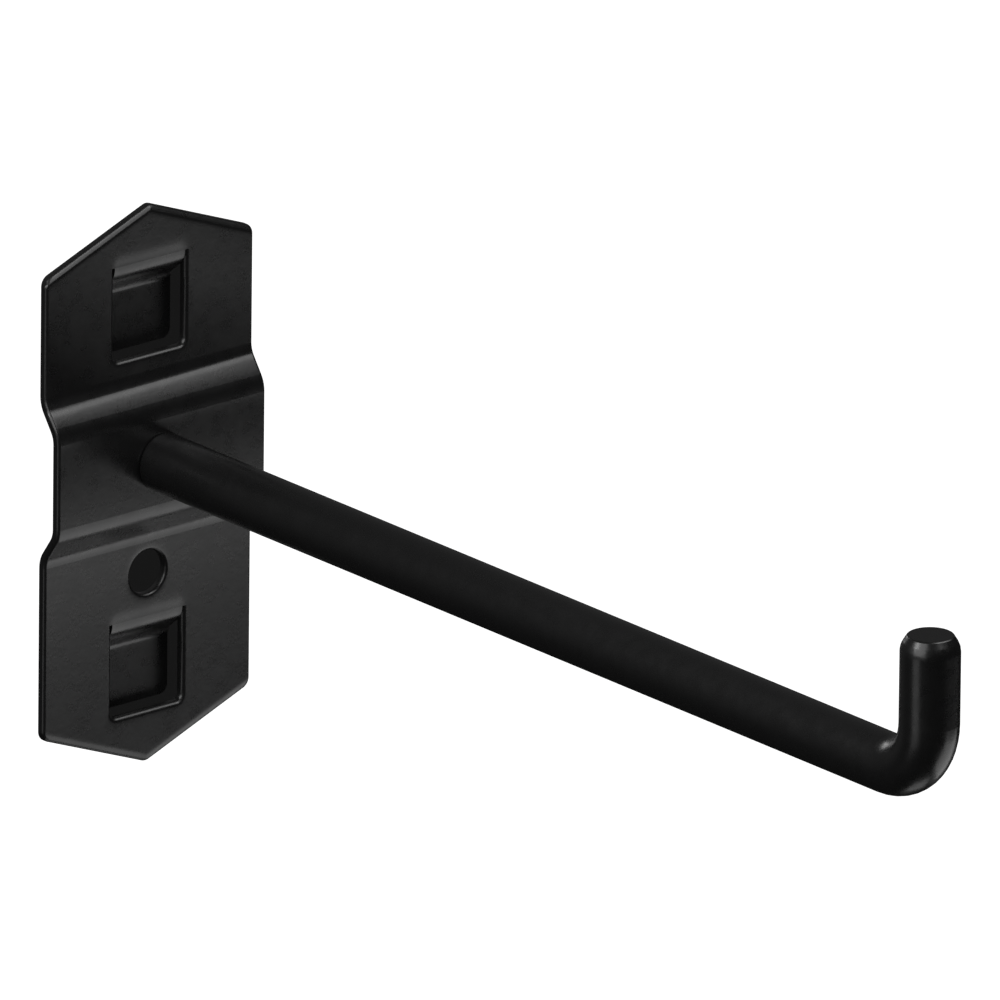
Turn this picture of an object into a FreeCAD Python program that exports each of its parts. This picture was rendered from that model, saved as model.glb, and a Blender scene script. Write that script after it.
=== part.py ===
import FreeCAD, Part
import math
import os
import re
import Sketcher

# Single hook for a perforated tool panel: one pressed sheet-steel plate and one bent round bar.
# Millimetres. +X is to the right, +Z is up and -Y points forward, along the bar.
# The origin lies on the plate's back face, midway between the two tongues.

doc = FreeCAD.newDocument("single_hook")

# Each driving dimension: its name in the sheet, its value, and what it measures
driving_sizes = [
    ("sheet_gauge", 0.8, "thickness of the plate's sheet"),
    ("plate_width", 27.0, "plate, side to side"),
    ("plate_height", 59.5, "plate, lower point to upper point, before its corners are rounded"),
    ("plate_side_height", 49.0, "plate, height of its straight sides"),
    ("corner_radius", 1.2, "the plate's six corners, seen from the front"),
    ("edge_roll", 0.35, "rounding that the blanking tool leaves along the front edges"),
    ("band_height", 13.65, "raised band, mid-slope to mid-slope"),
    ("band_centre", 2.95, "middle of the raised band above the origin"),
    ("band_offset", 2.1, "how far the band stands forward"),
    ("band_angle", 35.0, "slope of the band's two steps, in degrees"),
    ("band_bend_radius", 2.2, "inside radius of the band's bends"),
    ("panel_pitch", 38.0, "pitch of the panel's square holes"),
    ("panel_slot", 1.5, "room behind the plate for the panel's sheet"),
    ("window_width", 9.2, "cut-out that each tongue is bent from"),
    ("window_drop", 5.2, "bottom of the cut-out below the middle of its hole"),
    ("window_corner_radius", 0.7, "lower corners of the cut-out"),
    ("window_edge_roll", 0.5, "rounding along the cut-out's front edge"),
    ("tongue_rise", 4.9, "where the tongue starts to bend, above the middle of its hole"),
    ("tongue_height", 9.85, "tongue, start of its bend to its tip"),
    ("tongue_side_gap", 0.05, "slit along each side of the tongue"),
    ("tongue_angle", 50.0, "slope of the tongue's joggle, in degrees"),
    ("tongue_bend_radius", 1.4, "inside radius of the tongue's bends"),
    ("tongue_tip_radius", 1.0, "lower corners of the tongue"),
    ("screw_hole_diameter", 4.6, "screw hole"),
    ("screw_drop", 9.45, "middle of the screw hole below the origin"),
    ("screw_edge_roll", 0.35, "rounding of the screw hole's front edge"),
    ("rod_diameter", 6.1, "bar with its coating"),
    ("rod_reach", 118.55, "front of the band to the axis of the upturned end"),
    ("rod_rise", 15.2, "axis of the bar to the top of the upturned end"),
    ("rod_bend_radius", 6.0, "bend of the bar, on its axis"),
    ("tip_chamfer_in", 0.72, "chamfer of the free end, inwards"),
    ("tip_chamfer_down", 1.15, "chamfer of the free end, downwards"),
    ("tip_softening", 0.25, "rounding of the chamfer's upper edge"),
    ("tip_shoulder_radius", 2.0, "rounding of the chamfer's lower edge"),
    ("root_softening", 0.3, "rounding of the bar's edge against the band"),
    ("tenon_diameter", 5.0, "turned-down end of the bar, through the band"),
    ("tenon_clearance", 0.05, "gap round the tenon in its hole"),
    ("rivet_head_diameter", 7.6, "head peened on the tenon behind the band"),
    ("rivet_head_height", 1.3, "height of the peened head"),
    ("rivet_head_softening", 0.7, "rounding of the peened head"),
]
size_names = {alias for alias, size, note in driving_sizes}

sizes = doc.addObject("Spreadsheet::Sheet", "Sizes")
for row, (alias, size, note) in enumerate(driving_sizes, start=1):
    sizes.set(f"A{row}", note)
    sizes.set(f"B{row}", str(size))
    sizes.setAlias(f"B{row}", alias)
doc.recompute()


def from_sheet(formula):
    """The formula with each dimension's name pointing at its cell of the sheet."""
    def cell(found):
        word = found.group()
        return f"Sizes.{word}" if word in size_names else word
    return re.sub(r"[a-z_]+", cell, formula)


# Sketches: every corner and centre is held from the origin by sizes of the sheet

def new_body(name):
    body = doc.addObject("PartDesign::Body", name)
    body.Label = name
    return body


def new_sketch(body, name, plane, forward="0"):
    """A sketch on one of the body's own planes, moved along that plane's normal."""
    sketch = body.newObject("Sketcher::SketchObject", name)
    base_plane = [item for item in body.Origin.OriginFeatures if item.Role == plane][0]
    sketch.AttachmentSupport = [(base_plane, "")]
    sketch.MapMode = "FlatFace"
    sketch.setExpression("AttachmentOffset.Base.z", from_sheet(forward))
    return sketch


def hold(sketch, kind, places, formula):
    """A constraint whose size follows the sheet."""
    index = sketch.addConstraint(Sketcher.Constraint(kind, *places, 1.0))
    sketch.setExpression(f"Constraints[{index}]", from_sheet(formula))


def hold_point(sketch, item, end, across, up):
    hold(sketch, "DistanceX", (-1, 1, item, end), across)
    hold(sketch, "DistanceY", (-1, 1, item, end), up)


def draw_polygon(sketch, corners):
    """Straight lines from corner to corner, drawn roughly and then held in place."""
    first = sketch.GeometryCount
    count = len(corners)
    rough = [FreeCAD.Vector(place, place * place, 0) for place in range(count + 1)]
    for start, end in zip(rough, rough[1:]):
        sketch.addGeometry(Part.LineSegment(start, end))
    for place in range(count):
        following = first + (place + 1) % count
        sketch.addConstraint(Sketcher.Constraint("Coincident", first + place, 2, following, 1))
    for place, (across, up) in enumerate(corners):
        hold_point(sketch, first + place, 1, across, up)


def draw_circle(sketch, diameter, up):
    """A circle above or below the origin."""
    rough = Part.Circle(FreeCAD.Vector(0, 0, 0), FreeCAD.Vector(0, 0, 1), 1.0)
    circle = sketch.addGeometry(rough)
    hold(sketch, "Diameter", (circle,), diameter)
    hold_point(sketch, circle, 3, "0", up)


# Features: each one becomes its body's tip

def extrude(body, kind, name, sketch, length, midplane=False, backward=False):
    feature = body.newObject(kind, name)
    feature.Profile = sketch
    feature.setExpression("Length", from_sheet(length))
    feature.Midplane = midplane
    feature.Reversed = backward
    body.Tip = feature
    doc.recompute()
    return feature


def round_edges(body, name, radius, wanted):
    """A fillet on those edges of the body so far that the test picks."""
    base = body.Tip
    edges = enumerate(base.Shape.Edges, start=1)
    picked = [f"Edge{place}" for place, edge in edges if wanted(base.Shape, edge)]
    fillet = body.newObject("PartDesign::Fillet", name)
    fillet.Base = (base, picked)
    fillet.setExpression("Radius", from_sheet(radius))
    body.Tip = fillet
    doc.recompute()


# Tests that pick edges by what they are on the finished object

side_axis = FreeCAD.Vector(1, 0, 0)
depth_axis = FreeCAD.Vector(0, 1, 0)
up_axis = FreeCAD.Vector(0, 0, 1)
tolerance = 1e-4


def near(value, *targets):
    return any(abs(value - target) < tolerance for target in targets)


def along(edge, axis):
    """Whether a straight edge runs along the axis."""
    if edge.Curve.TypeId != "Part::GeomLine":
        return False
    return near(abs(edge.tangentAt(edge.FirstParameter).dot(axis)), 1.0)


def directions_beside(shape, edge):
    """The outward directions of the faces that meet at the edge's middle."""
    middle = edge.valueAt((edge.FirstParameter + edge.LastParameter) / 2)
    faces = shape.ancestorsOfType(edge, Part.Face)
    return [face.normalAt(*face.Surface.parameter(middle)) for face in faces]


def is_bend(shape, edge, angle, depths):
    """Whether the sheet turns by the angle at this edge, which lies at one of the depths."""
    if not along(edge, side_axis) or not near(edge.CenterOfMass.y, *depths):
        return False
    one, other = directions_beside(shape, edge)
    return near(math.degrees(one.getAngle(other)), angle)


def is_front_rim(shape, edge):
    """Whether the edge lies between a cut wall and a face that looks forward."""
    directions = directions_beside(shape, edge)
    wall = any(near(direction.y, 0.0) for direction in directions)
    return wall and min(direction.y for direction in directions) < -0.1


def is_round_rim(edge, axis, *centres):
    """Whether the edge is a circle square to the axis, or part of one, about one of the centres."""
    if edge.Curve.TypeId != "Part::GeomCircle" or not near(abs(edge.Curve.Axis.dot(axis)), 1.0):
        return False
    return any(edge.Curve.Center.distanceToPoint(centre) < tolerance for centre in centres)


# Base plate: its side profile, with the raised band's two steps

plate = new_body("base_plate")

half_run = "band_offset / 2 / tan(band_angle)"
mitre = "sheet_gauge / 2 * tan(band_angle / 2)"
upper_step = "band_centre + band_height / 2"
lower_step = "band_centre - band_height / 2"
sheet_end = "plate_height / 2 + sheet_gauge"
flat_front = "-sheet_gauge"
band_front = "-sheet_gauge - band_offset"
band_back = "-band_offset"

profile = new_sketch(plate, "plate_profile", "YZ_Plane")
draw_polygon(profile, [
    (flat_front, sheet_end),
    (flat_front, f"{upper_step} + {half_run} + {mitre}"),
    (band_front, f"{upper_step} - {half_run} + {mitre}"),
    (band_front, f"{lower_step} + {half_run} - {mitre}"),
    (flat_front, f"{lower_step} - {half_run} - {mitre}"),
    (flat_front, f"-({sheet_end})"),
    ("0", f"-({sheet_end})"),
    ("0", f"{lower_step} - {half_run} + {mitre}"),
    (band_back, f"{lower_step} + {half_run} + {mitre}"),
    (band_back, f"{upper_step} - {half_run} - {mitre}"),
    ("0", f"{upper_step} + {half_run} - {mitre}"),
    ("0", sheet_end),
])
extrude(plate, "PartDesign::Pad", "plate_sheet", profile, "plate_width", midplane=True)

gauge = sizes.sheet_gauge
band_inner = (-gauge, -sizes.band_offset)
band_outer = (0.0, -gauge - sizes.band_offset)
round_edges(plate, "band_bends_inside", "band_bend_radius",
            lambda shape, edge: is_bend(shape, edge, sizes.band_angle, band_inner))
round_edges(plate, "band_bends_outside", "band_bend_radius + sheet_gauge",
            lambda shape, edge: is_bend(shape, edge, sizes.band_angle, band_outer))

# Its outline, a long hexagon: everything outside that is trimmed off

outline = new_sketch(plate, "plate_outline", "XZ_Plane")
draw_polygon(outline, [
    ("plate_width", "plate_height"),
    ("-plate_width", "plate_height"),
    ("-plate_width", "-plate_height"),
    ("plate_width", "-plate_height"),
])
draw_polygon(outline, [
    ("plate_width / 2", "plate_side_height / 2"),
    ("0", "plate_height / 2"),
    ("-plate_width / 2", "plate_side_height / 2"),
    ("-plate_width / 2", "-plate_side_height / 2"),
    ("0", "-plate_height / 2"),
    ("plate_width / 2", "-plate_side_height / 2"),
])
through_plate = "4 * (sheet_gauge + band_offset)"
extrude(plate, "PartDesign::Pocket", "outline_trim", outline, through_plate, midplane=True)
round_edges(plate, "plate_corners", "corner_radius",
            lambda shape, edge: along(edge, depth_axis))
round_edges(plate, "plate_edge_roll", "edge_roll", is_front_rim)

# The upper window, and the tongue that is bent back out of it to grip the panel

hole_middle = "panel_pitch / 2"
tongue_start = "panel_pitch / 2 + tongue_rise"
tongue_tip = f"{tongue_start} - tongue_height"
window_outline = new_sketch(plate, "window_outline", "XZ_Plane")
draw_polygon(window_outline, [
    ("window_width / 2", f"{hole_middle} - window_drop"),
    ("window_width / 2", tongue_start),
    ("-window_width / 2", tongue_start),
    ("-window_width / 2", f"{hole_middle} - window_drop"),
])
window = extrude(plate, "PartDesign::Pocket", "tongue_window", window_outline, through_plate,
                 midplane=True)

tongue_run = "(sheet_gauge + panel_slot) / tan(tongue_angle)"
tongue_mitre = "sheet_gauge / 2 * tan(tongue_angle / 2)"
tongue_bend = f"{tongue_start} - (tongue_bend_radius + sheet_gauge / 2) * tan(tongue_angle / 2)"
tongue_profile = new_sketch(plate, "tongue_profile", "YZ_Plane")
draw_polygon(tongue_profile, [
    (flat_front, f"{tongue_start} + sheet_gauge"),
    (flat_front, f"{tongue_bend} - {tongue_mitre}"),
    ("panel_slot", f"{tongue_bend} - {tongue_run} - {tongue_mitre}"),
    ("panel_slot", tongue_tip),
    ("panel_slot + sheet_gauge", tongue_tip),
    ("panel_slot + sheet_gauge", f"{tongue_bend} - {tongue_run} + {tongue_mitre}"),
    ("0", f"{tongue_bend} + {tongue_mitre}"),
    ("0", f"{tongue_start} + sheet_gauge"),
])
tongue = extrude(plate, "PartDesign::Pad", "tongue_strip", tongue_profile,
                 "window_width - 2 * tongue_side_gap", midplane=True)

# The same again one panel hole further down

both_tongues = plate.newObject("PartDesign::LinearPattern", "both_tongues")
both_tongues.Originals = [window, tongue]
both_tongues.Direction = (window_outline, ["V_Axis"])
both_tongues.Reversed = True
both_tongues.setExpression("Length", from_sheet("panel_pitch"))
both_tongues.Occurrences = 2
plate.Tip = both_tongues
doc.recompute()

tongue_inner = (0.0, sizes.panel_slot)
tongue_outer = (-gauge, sizes.panel_slot + gauge)
round_edges(plate, "tongue_bends_inside", "tongue_bend_radius",
            lambda shape, edge: is_bend(shape, edge, sizes.tongue_angle, tongue_inner))
round_edges(plate, "tongue_bends_outside", "tongue_bend_radius + sheet_gauge",
            lambda shape, edge: is_bend(shape, edge, sizes.tongue_angle, tongue_outer))

window_side = sizes.window_width / 2
tongue_side = window_side - sizes.tongue_side_gap
hole_middles = (sizes.panel_pitch / 2, -sizes.panel_pitch / 2)
window_bottoms = [middle - sizes.window_drop for middle in hole_middles]
tongue_starts = [middle + sizes.tongue_rise for middle in hole_middles]
tongue_tips = [start - sizes.tongue_height for start in tongue_starts]


def is_corner(edge, side, heights):
    middle = edge.CenterOfMass
    return along(edge, depth_axis) and near(abs(middle.x), side) and near(middle.z, *heights)


def is_window_rim(shape, edge):
    """Whether the edge is on the front rim of a window, from one slit's top to the other's."""
    box = edge.BoundBox
    slit_top = near(box.ZMin, *tongue_starts)
    beside_window = max(abs(box.XMin), abs(box.XMax)) < window_side + tolerance
    in_height = any(bottom - tolerance < box.ZMin and box.ZMax < start + tolerance
                    for bottom, start in zip(window_bottoms, tongue_starts))
    on_front = near(box.YMin, -gauge) and near(box.YMax, -gauge)
    return on_front and in_height and beside_window and not slit_top and is_front_rim(shape, edge)


round_edges(plate, "window_corners", "window_corner_radius",
            lambda shape, edge: is_corner(edge, window_side, window_bottoms))
round_edges(plate, "tongue_tips", "tongue_tip_radius",
            lambda shape, edge: is_corner(edge, tongue_side, tongue_tips))
round_edges(plate, "window_edge_roll", "window_edge_roll", is_window_rim)

# Screw hole below the band, and the hole in the band that the bar's tenon goes through

screw_outline = new_sketch(plate, "screw_hole_outline", "XZ_Plane")
draw_circle(screw_outline, "screw_hole_diameter", "-screw_drop")
extrude(plate, "PartDesign::Pocket", "screw_hole", screw_outline, through_plate, midplane=True)
screw_rim = FreeCAD.Vector(0, -gauge, -sizes.screw_drop)
round_edges(plate, "screw_edge_roll", "screw_edge_roll",
            lambda shape, edge: is_round_rim(edge, depth_axis, screw_rim))

tenon_outline = new_sketch(plate, "tenon_hole_outline", "XZ_Plane")
draw_circle(tenon_outline, "tenon_diameter + 2 * tenon_clearance", "band_centre")
extrude(plate, "PartDesign::Pocket", "tenon_hole", tenon_outline, through_plate, midplane=True)

# Hook rod: a round bar swept along its axis, straight out of the band and then up

rod = new_body("hook_rod")
band_face = "sheet_gauge + band_offset"

path = new_sketch(rod, "rod_path", "YZ_Plane")
rough_bend = Part.Circle(FreeCAD.Vector(-3, 1, 0), FreeCAD.Vector(0, 0, 1), 1.0)
straight = path.addGeometry(Part.LineSegment(FreeCAD.Vector(-1, 0, 0), FreeCAD.Vector(-3, 0, 0)))
bend = path.addGeometry(Part.ArcOfCircle(rough_bend, math.pi, 1.5 * math.pi))
upturn = path.addGeometry(Part.LineSegment(FreeCAD.Vector(-4, 1, 0), FreeCAD.Vector(-4, 3, 0)))
path.addConstraint(Sketcher.Constraint("Tangent", straight, 2, bend, 2))
path.addConstraint(Sketcher.Constraint("Tangent", bend, 1, upturn, 1))
path.addConstraint(Sketcher.Constraint("Horizontal", straight))
path.addConstraint(Sketcher.Constraint("Vertical", upturn))
hold_point(path, straight, 1, f"-({band_face})", "band_centre")
hold_point(path, upturn, 2, f"-({band_face} + rod_reach)", "band_centre + rod_rise")
hold(path, "Radius", (bend,), "rod_bend_radius")

section = new_sketch(rod, "rod_section", "XZ_Plane", forward=band_face)
draw_circle(section, "rod_diameter", "band_centre")
sweep = rod.newObject("PartDesign::AdditivePipe", "rod_sweep")
sweep.Profile = section
sweep.Spine = (path, [])
rod.Tip = sweep
doc.recompute()

# Its free end is chamfered all round, and the chamfer's edges are rounded

upturn_axis = "-(sheet_gauge + band_offset + rod_reach)"
tip_top = "band_centre + rod_rise"
clear_of_bar = f"{upturn_axis} - rod_diameter"
chamfer_profile = new_sketch(rod, "tip_chamfer_profile", "YZ_Plane")
draw_polygon(chamfer_profile, [
    (f"{upturn_axis} - rod_diameter / 2 + tip_chamfer_in", tip_top),
    (f"{upturn_axis} - rod_diameter / 2", f"{tip_top} - tip_chamfer_down"),
    (clear_of_bar, f"{tip_top} - tip_chamfer_down"),
    (clear_of_bar, f"{tip_top} + tip_chamfer_down"),
    (f"{upturn_axis} - rod_diameter / 2 + tip_chamfer_in", f"{tip_top} + tip_chamfer_down"),
])
turning_axis = chamfer_profile.addGeometry(
    Part.LineSegment(FreeCAD.Vector(0, 0, 0), FreeCAD.Vector(0, 1, 0)), True)
hold_point(chamfer_profile, turning_axis, 1, upturn_axis, "0")
hold_point(chamfer_profile, turning_axis, 2, upturn_axis, tip_top)
chamfer = rod.newObject("PartDesign::Groove", "tip_chamfer")
chamfer.Profile = chamfer_profile
chamfer.ReferenceAxis = (chamfer_profile, ["Axis0"])
chamfer.Angle = 360
rod.Tip = chamfer
doc.recompute()
band_front_y = -gauge - sizes.band_offset
tip_rim = FreeCAD.Vector(0, band_front_y - sizes.rod_reach, sizes.band_centre + sizes.rod_rise)
chamfer_rim = tip_rim - up_axis * sizes.tip_chamfer_down
round_edges(rod, "tip_shoulder", "tip_shoulder_radius",
            lambda shape, edge: is_round_rim(edge, up_axis, chamfer_rim))
round_edges(rod, "tip_edge", "tip_softening",
            lambda shape, edge: is_round_rim(edge, up_axis, tip_rim))

# Its root seats on the band, and a tenon goes through and is peened over behind

root_rim = FreeCAD.Vector(0, band_front_y, sizes.band_centre)
round_edges(rod, "root_edge", "root_softening",
            lambda shape, edge: is_round_rim(edge, depth_axis, root_rim))
tenon_section = new_sketch(rod, "tenon_section", "XZ_Plane", forward=band_face)
draw_circle(tenon_section, "tenon_diameter", "band_centre")
extrude(rod, "PartDesign::Pad", "tenon", tenon_section, "sheet_gauge", backward=True)
head_section = new_sketch(rod, "rivet_head_section", "XZ_Plane", forward="band_offset")
draw_circle(head_section, "rivet_head_diameter", "band_centre")
extrude(rod, "PartDesign::Pad", "rivet_head", head_section, "rivet_head_height", backward=True)
head_rim = FreeCAD.Vector(0, sizes.rivet_head_height - sizes.band_offset, sizes.band_centre)
round_edges(rod, "rivet_head_edge", "rivet_head_softening",
            lambda shape, edge: is_round_rim(edge, depth_axis, head_rim))

# Nothing is written unless every object came out sound

for item in doc.Objects:
    if {"Invalid", "Error"} & set(item.State):
        raise RuntimeError(f"{item.Name} failed: {item.getStatusString()}")
os.makedirs("parts", exist_ok=True)
for body in (plate, rod):
    if body.Shape.isNull() or not body.Shape.isValid() or len(body.Shape.Solids) != 1:
        raise RuntimeError(f"{body.Label} isn't one valid solid")
    body.Shape.exportStep(f"parts/{body.Label}.step")
    print(f"{body.Label}: {body.Shape.Volume:.1f} mm3")
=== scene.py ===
import bpy
import math
from mathutils import Matrix, Vector

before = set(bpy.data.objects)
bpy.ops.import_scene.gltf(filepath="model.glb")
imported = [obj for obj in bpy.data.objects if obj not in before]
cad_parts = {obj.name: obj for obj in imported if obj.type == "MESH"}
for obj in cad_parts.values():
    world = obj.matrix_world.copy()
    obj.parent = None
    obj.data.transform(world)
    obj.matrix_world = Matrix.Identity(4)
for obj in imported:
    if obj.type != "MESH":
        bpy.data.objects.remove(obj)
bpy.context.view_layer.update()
scene = bpy.context.scene
scene.view_settings.view_transform = "Standard"
print("frame loaded:", ", ".join(sorted(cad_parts)))

# Camera: a very long lens, as the photograph is all but free of perspective
cameraSetup = {
    "azimuth": -40.16,         # degrees, turned left of the front
    "elevation": 19.77,        # degrees above level
    "roll": 0.586,             # degrees
    "distance": 4.7,           # metres from the bar's middle
    "barMiddle": (0, -0.06, 0),
    "pictureWidth": 0.09948,   # metres across the picture at the bar's middle
    "aimRight": -0.00273,      # from the bar's middle to the picture's middle
    "aimUp": 0.01404,
    "sensor": 36.0,
    "clip": (0.1, 100),
}


def directionOf(turn, tilt):
    # angles in radians: right of the front, and above level
    return Vector((math.sin(turn) * math.cos(tilt), -math.cos(turn) * math.cos(tilt), math.sin(tilt)))


def makeCamera(setup):
    turn, tilt, roll = (math.radians(setup[angle]) for angle in ("azimuth", "elevation", "roll"))
    back = directionOf(turn, tilt)
    level = Vector((math.cos(turn), math.sin(turn), 0))
    right = level * math.cos(roll) + back.cross(level) * math.sin(roll)
    up = back.cross(right)
    aim = Vector(setup["barMiddle"]) + right * setup["aimRight"] + up * setup["aimUp"]
    bpy.ops.object.camera_add(location=aim + back * setup["distance"])
    camera = bpy.context.object
    camera.name = "longLensCamera"
    camera.rotation_euler = Matrix((right, up, back)).transposed().to_euler()
    camera.data.sensor_width = setup["sensor"]
    camera.data.lens = setup["sensor"] * setup["distance"] / setup["pictureWidth"]
    camera.data.clip_start, camera.data.clip_end = setup["clip"]
    scene.camera = camera


makeCamera(cameraSetup)
print("camera set")

# Powder coat: black, satin, with a fine pebbled skin
coatSetup = {
    "colour": (0.0055, 0.0055, 0.0056, 1),
    "refraction": 1.5,
    "roughness": (0.26, 0.31),      # smooth patches, dull patches
    "patches": (0.0016, 3),         # size in metres, detail of the noise
    "patchEdges": (0.35, 0.65),     # where the noise turns from smooth to dull
    "ripple": (0.0011, 1, 0.000006),     # size, detail, height in metres
    "pebble": (0.00034, 2, 0.000006),
}

# What pressing leaves in the sheet under the coat. Heights are measured up the plate, all lengths
# are in metres, and degrees say how far the surface leans back at most.
pressSetup = {
    # height, reach, degrees, rise per metre to the right
    "softBends": (
        (0.0110, 0.0070, 3.5, -0.05),        # bow over the raised band's top
        (-0.0050, 0.0080, -3.0, 0.05),       # bow over the raised band's foot
        (0.0087, 0.0012, -9.0, 0.0),         # end of the upper slope
        (0.01115, 0.00030, -9.0, 0.0176),    # crisp start of the upper slope
        (0.01064, 0.00020, 14.0, 0.0176),
        (0.0255, 0.0080, -2.6, -0.5),        # bow of the upper end
        (-0.0270, 0.0080, 1.6, 0.0),         # bow of the lower end
    ),
    # middle height, half width, half height, corner, ease at its top, reach, degrees
    "openings": (
        (0.0190, 0.0046, 0.0052, 0.0007, 0.8, 0.00045, 7.0),      # upper window
        (-0.0190, 0.0046, 0.0052, 0.0007, 0.8, 0.00045, 7.0),     # lower window
        (-0.00945, 0.0023, 0.0023, 0.0023, 1.0, 0.00040, 10.0),   # screw hole
    ),
    # where each tongue levels out: height, half width, fade at its sides, reach, degrees, length below
    "tongueBends": (
        (0.0207, 0.0046, 0.0001, 0.0003, -11.0, 0.0060),
        (-0.0173, 0.0046, 0.0001, 0.0003, -11.0, 0.0060),
    ),
    # slanted ends: height at the middle, fall per metre outwards, distance inside, reach, degrees,
    # and the lower end's share of them
    "rolledEnds": (0.02975, 0.3889, 0.00042, 0.00022, 36.0, 0.45),
    # straight sides: half width, distance inside, reach, degrees
    "rolledSides": (0.0135, 0.00020, 0.00012, 12.0),
}


def maths(tree, operation, *values):
    # a Math node, whose values are sockets or plain numbers
    node = tree.nodes.new("ShaderNodeMath")
    node.operation = operation
    for socket, value in zip(node.inputs, values):
        if isinstance(value, (int, float)):
            socket.default_value = value
        else:
            tree.links.new(value, socket)
    return node.outputs["Value"]


def noiseOfSize(tree, place, size, detail):
    noise = tree.nodes.new("ShaderNodeTexNoise")
    noise.inputs["Scale"].default_value = 1 / size
    noise.inputs["Detail"].default_value = detail
    tree.links.new(place, noise.inputs["Vector"])
    return noise.outputs["Fac"]


def rangeOf(tree, value, source, target, kind):
    ranged = tree.nodes.new("ShaderNodeMapRange")
    ranged.interpolation_type = kind
    ranged.inputs["From Min"].default_value, ranged.inputs["From Max"].default_value = source
    ranged.inputs["To Min"].default_value, ranged.inputs["To Max"].default_value = target
    tree.links.new(value, ranged.inputs["Value"])
    return ranged.outputs["Result"]


def bumpOf(tree, height, distance, normal):
    bump = tree.nodes.new("ShaderNodeBump")
    bump.inputs["Strength"].default_value = 1
    bump.inputs["Distance"].default_value = distance
    tree.links.new(height, bump.inputs["Height"])
    if normal:
        tree.links.new(normal, bump.inputs["Normal"])
    return bump.outputs["Normal"]


def softStep(tree, distance, reach):
    # from -1 to 1, through 0 where the distance is nothing, and mostly within the reach
    return maths(tree, "TANH", maths(tree, "DIVIDE", distance, reach))


def riseOf(reach, degrees):
    # half the height of a soft step that is so steep in its middle
    return math.tan(math.radians(degrees)) * reach


def softBendHeight(tree, across, up):
    # where the sheet leans back, its surface sinks as it goes up
    total = 0.0
    for middle, reach, degrees, rise in pressSetup["softBends"]:
        along = maths(tree, "MULTIPLY_ADD", across, -rise, up)
        step = softStep(tree, maths(tree, "SUBTRACT", along, middle), reach)
        total = maths(tree, "MULTIPLY_ADD", step, -riseOf(reach, degrees), total)
    return total


def openingHeight(tree, across, up):
    # the surface sinks across an opening's rim, by its distance from a box with round corners
    total = 0.0
    for middle, halfWidth, halfHeight, corner, ease, reach, degrees in pressSetup["openings"]:
        beside = maths(tree, "SUBTRACT", maths(tree, "ABSOLUTE", across), halfWidth - corner)
        over = maths(tree, "MULTIPLY", maths(tree, "SUBTRACT", up, middle + halfHeight - corner), ease)
        under = maths(tree, "SUBTRACT", middle - halfHeight + corner, up)
        above = maths(tree, "MAXIMUM", over, under)
        outBeside = maths(tree, "MAXIMUM", beside, 0.0)
        outAbove = maths(tree, "MAXIMUM", above, 0.0)
        squares = maths(tree, "MULTIPLY", outAbove, outAbove)
        squares = maths(tree, "MULTIPLY_ADD", outBeside, outBeside, squares)
        inside = maths(tree, "MINIMUM", maths(tree, "MAXIMUM", beside, above), 0.0)
        away = maths(tree, "SUBTRACT", maths(tree, "ADD", maths(tree, "SQRT", squares), inside), corner)
        total = maths(tree, "MULTIPLY_ADD", softStep(tree, away, reach), riseOf(reach, degrees), total)
    return total


def tongueBendHeight(tree, across, up):
    # a small step where the tongue levels out, which runs out over its length
    total = 0.0
    for level, halfWidth, fade, reach, degrees, length in pressSetup["tongueBends"]:
        over = maths(tree, "SUBTRACT", up, level)
        step = maths(tree, "SUBTRACT", 1.0, softStep(tree, over, reach))
        along = maths(tree, "MAXIMUM", maths(tree, "MULTIPLY_ADD", over, 1 / length, 1.0), 0.0)
        beside = maths(tree, "SUBTRACT", maths(tree, "ABSOLUTE", across), halfWidth)
        wide = maths(tree, "MULTIPLY_ADD", softStep(tree, beside, fade), -0.5, 0.5)
        rolled = maths(tree, "MULTIPLY", maths(tree, "MULTIPLY", step, along), wide)
        total = maths(tree, "MULTIPLY_ADD", rolled, riseOf(reach, degrees), total)
    return total


def rolledEdgeHeight(tree, across, up):
    # the outline is rolled down, most of all a little way inside it
    middle, fall, inEnd, endReach, endDegrees, lowShare = pressSetup["rolledEnds"]
    side, inSide, sideReach, sideDegrees = pressSetup["rolledSides"]
    endShare = maths(tree, "MULTIPLY_ADD", maths(tree, "GREATER_THAN", up, 0.0), 1 - lowShare, lowShare)
    outwards, alongPlate = maths(tree, "ABSOLUTE", across), maths(tree, "ABSOLUTE", up)
    below = maths(tree, "SUBTRACT", maths(tree, "MULTIPLY_ADD", outwards, -fall, middle), alongPlate)
    fromEnd = maths(tree, "DIVIDE", below, math.sqrt(1 + fall * fall))
    fromSide = maths(tree, "SUBTRACT", side, outwards)
    total = 0.0
    for away, inside, reach, degrees, share in ((fromEnd, inEnd, endReach, endDegrees, endShare),
                                                (fromSide, inSide, sideReach, sideDegrees, 1.0)):
        step = softStep(tree, maths(tree, "SUBTRACT", away, inside), reach)
        rolled = maths(tree, "MULTIPLY", step, share)
        total = maths(tree, "MULTIPLY_ADD", rolled, riseOf(reach, degrees), total)
    return total


def pressedNormal(tree, place):
    split = tree.nodes.new("ShaderNodeSeparateXYZ")
    tree.links.new(place, split.inputs["Vector"])
    across, up = split.outputs["X"], split.outputs["Z"]
    bends = maths(tree, "ADD", softBendHeight(tree, across, up), openingHeight(tree, across, up))
    edges = maths(tree, "ADD", tongueBendHeight(tree, across, up), rolledEdgeHeight(tree, across, up))
    return bumpOf(tree, maths(tree, "ADD", bends, edges), 1, None)


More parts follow.
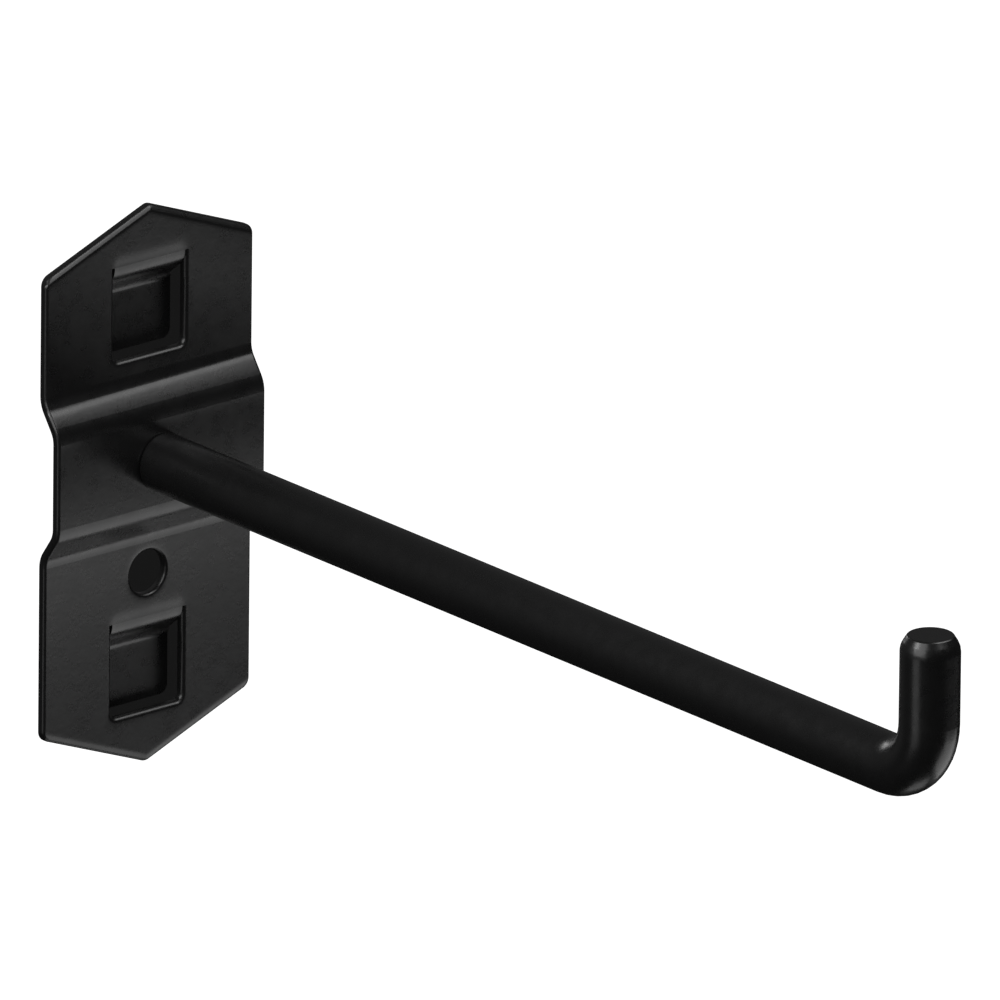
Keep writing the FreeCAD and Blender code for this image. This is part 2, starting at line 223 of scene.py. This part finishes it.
def powderCoat(name, pressed):
    material = bpy.data.materials.new(name)
    material.use_nodes = True
    tree = material.node_tree
    shader = tree.nodes["Principled BSDF"]
    shader.inputs["Base Color"].default_value = coatSetup["colour"]
    shader.inputs["IOR"].default_value = coatSetup["refraction"]
    place = tree.nodes.new("ShaderNodeTexCoord").outputs["Object"]

    patches = noiseOfSize(tree, place, *coatSetup["patches"])
    rough = rangeOf(tree, patches, coatSetup["patchEdges"], coatSetup["roughness"], "LINEAR")
    tree.links.new(rough, shader.inputs["Roughness"])

    normal = pressedNormal(tree, place) if pressed else None
    for grain in ("ripple", "pebble"):
        size, detail, height = coatSetup[grain]
        normal = bumpOf(tree, noiseOfSize(tree, place, size, detail), height, normal)
    tree.links.new(normal, shader.inputs["Normal"])
    return material


for node, pressed in (("base_plate", True), ("hook_rod", False)):
    coat = powderCoat(node + "PowderCoat", pressed)
    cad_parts[node].data.materials.clear()
    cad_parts[node].data.materials.append(coat)
print("powder coat on plate and bar")

# Studio: white wherever the camera, a gloss or a clear thing looks, and a dark tent that the
# coat mirrors
studioSetup = {
    "floorHeight": -0.8,
    "floorSize": 12.0,
    "floorColour": (0.8, 0.8, 0.79, 1),
    "ambient": (0.18, 0.18, 0.18, 1),
    "tentRadius": 0.75,
    "tentRings": (48, 24),           # around, up
    "tentGlow": (0.01, 0.07),        # in front and below, behind and above
    "tentWay": (0.8, 0.6),           # how far back and up the glow grows
    "tentFade": (0.15, 0.45),        # metres along that way
    # painted shade: a black card that darkens what the plate's openings show
    "shadeCardColour": (0.024, 0.024, 0.024, 1),
    "shadeCardBehind": 1.0,              # metres behind the plate, as the camera looks
    "shadeCardSize": (0.0104, 0.0474),   # as it looks from the camera, on the scale of the plate
    "shadeCardMiddle": (-0.0004, 0, -0.0007),
}


def looked(tree):
    # 1 for what the camera, a gloss or a clear thing sees, 0 for the light on the object
    rays = tree.nodes.new("ShaderNodeLightPath")
    seen = maths(tree, "MAXIMUM", rays.outputs["Is Camera Ray"], rays.outputs["Is Glossy Ray"])
    return maths(tree, "MAXIMUM", seen, rays.outputs["Is Transmission Ray"])


def makeWorld():
    world = bpy.data.worlds.new("studioWorld")
    scene.world = world
    world.use_nodes = True
    tree = world.node_tree
    plain = tree.nodes["Background"]
    plain.inputs["Color"].default_value = studioSetup["ambient"]
    white = tree.nodes.new("ShaderNodeEmission")
    mix = tree.nodes.new("ShaderNodeMixShader")
    tree.links.new(looked(tree), mix.inputs["Fac"])
    tree.links.new(plain.outputs["Background"], mix.inputs[1])
    tree.links.new(white.outputs["Emission"], mix.inputs[2])
    tree.links.new(mix.outputs["Shader"], tree.nodes["World Output"].inputs["Surface"])


def stageMaterial(name, kind, colour):
    material = bpy.data.materials.new(name)
    material.use_nodes = True
    tree = material.node_tree
    tree.nodes.remove(tree.nodes["Principled BSDF"])
    shader = tree.nodes.new(kind)
    shader.inputs["Color"].default_value = colour
    tree.links.new(shader.outputs[0], tree.nodes["Material Output"].inputs["Surface"])
    return material, tree, shader


def clearFromBehind(tree, front):
    clear = tree.nodes.new("ShaderNodeBsdfTransparent")
    side = tree.nodes.new("ShaderNodeNewGeometry")
    mix = tree.nodes.new("ShaderNodeMixShader")
    tree.links.new(side.outputs["Backfacing"], mix.inputs["Fac"])
    tree.links.new(front, mix.inputs[1])
    tree.links.new(clear.outputs["BSDF"], mix.inputs[2])
    tree.links.new(mix.outputs["Shader"], tree.nodes["Material Output"].inputs["Surface"])


def makeFloor():
    bpy.ops.mesh.primitive_plane_add(size=studioSetup["floorSize"],
                                     location=(0, 0, studioSetup["floorHeight"]))
    floor = bpy.context.object
    floor.name = "paleFloor"
    material, tree, plain = stageMaterial("paleFloorPaper", "ShaderNodeBsdfDiffuse",
                                          studioSetup["floorColour"])
    white = tree.nodes.new("ShaderNodeEmission")
    tree.links.new(looked(tree), white.inputs["Strength"])
    both = tree.nodes.new("ShaderNodeAddShader")
    tree.links.new(plain.outputs["BSDF"], both.inputs[0])
    tree.links.new(white.outputs["Emission"], both.inputs[1])
    clearFromBehind(tree, both.outputs["Shader"])
    floor.data.materials.append(material)


def makeTent():
    # the camera looks through it, and only a gloss sees its dark inside
    around, rings = studioSetup["tentRings"]
    bpy.ops.mesh.primitive_uv_sphere_add(radius=studioSetup["tentRadius"],
                                         segments=around, ring_count=rings)
    tent = bpy.context.object
    tent.name = "darkTent"
    material, tree, glow = stageMaterial("darkTentCloth", "ShaderNodeEmission", (1, 1, 1, 1))
    split = tree.nodes.new("ShaderNodeSeparateXYZ")
    tree.links.new(tree.nodes.new("ShaderNodeTexCoord").outputs["Object"], split.inputs["Vector"])
    backShare, upShare = studioSetup["tentWay"]
    back = maths(tree, "MULTIPLY", split.outputs["Y"], backShare)
    backAndUp = maths(tree, "MULTIPLY_ADD", split.outputs["Z"], upShare, back)
    strength = rangeOf(tree, backAndUp, studioSetup["tentFade"], studioSetup["tentGlow"], "SMOOTHSTEP")
    tree.links.new(strength, glow.inputs["Strength"])
    tent.data.materials.append(material)
    tent.visible_camera = False
    tent.visible_diffuse = False
    tent.visible_shadow = False
    tent.visible_transmission = False


def makePaintedShadeCard():
    # a black card far behind the plate, which shows only through its openings: painted shade, put where
    # they show only shade
    bpy.ops.mesh.primitive_plane_add(size=1)
    shadeCard = bpy.context.object
    shadeCard.name = "paintedShadeCard"
    sight = Vector(studioSetup["shadeCardMiddle"]) - scene.camera.location
    farther = 1 + studioSetup["shadeCardBehind"] / sight.length
    wide, tall = studioSetup["shadeCardSize"]
    shadeCard.scale = (wide * farther, tall * farther, 1)
    shadeCard.location = scene.camera.location + sight * farther
    shadeCard.rotation_euler = scene.camera.rotation_euler
    material, tree, black = stageMaterial("paintedShadeCardStock", "ShaderNodeBsdfDiffuse",
                                          studioSetup["shadeCardColour"])
    clearFromBehind(tree, black.outputs["BSDF"])
    shadeCard.data.materials.append(material)


bpy.ops.object.select_all(action="DESELECT")
makeWorld()
makeFloor()
makeTent()
makePaintedShadeCard()
print("studio built")

# Lamps: degrees right of the front, degrees above level, distance, width, height, watts
lampSetup = {
    "sideBoxLeft": (-74, 30, 0.5, 0.44, 0.50, 1.80),
    "keyUpperLeft": (-90, 38, 0.48, 0.12, 0.12, 0.35),
    "stripLeft": (-80, -19, 0.5, 0.22, 0.15, 0.10),
    "topBoxRight": (38, 51, 0.5, 0.52, 0.28, 1.15),
    "topStripRight": (30, 59, 0.48, 0.30, 0.10, 0.30),
    "lowCardRight": (50, -40, 0.5, 0.44, 0.29, 0.56),
    "floorCard": (60, -77, 0.5, 0.20, 0.20, 0.12),
    "edgeLampBehind": (173, 15, 0.5, 0.19, 0.19, 0.34),
}


def addLamp(name, turn, tilt, distance, width, height, watts):
    towards = directionOf(math.radians(turn), math.radians(tilt))
    bpy.ops.object.light_add(type="AREA", location=towards * distance)
    lamp = bpy.context.object
    lamp.name = name
    lamp.rotation_euler = towards.to_track_quat("Z", "Y").to_euler()
    lamp.data.shape = "RECTANGLE"
    lamp.data.size = width
    lamp.data.size_y = height
    lamp.data.energy = watts
    lamp.visible_camera = False


for name, values in lampSetup.items():
    addLamp(name, *values)
print("lamps set")
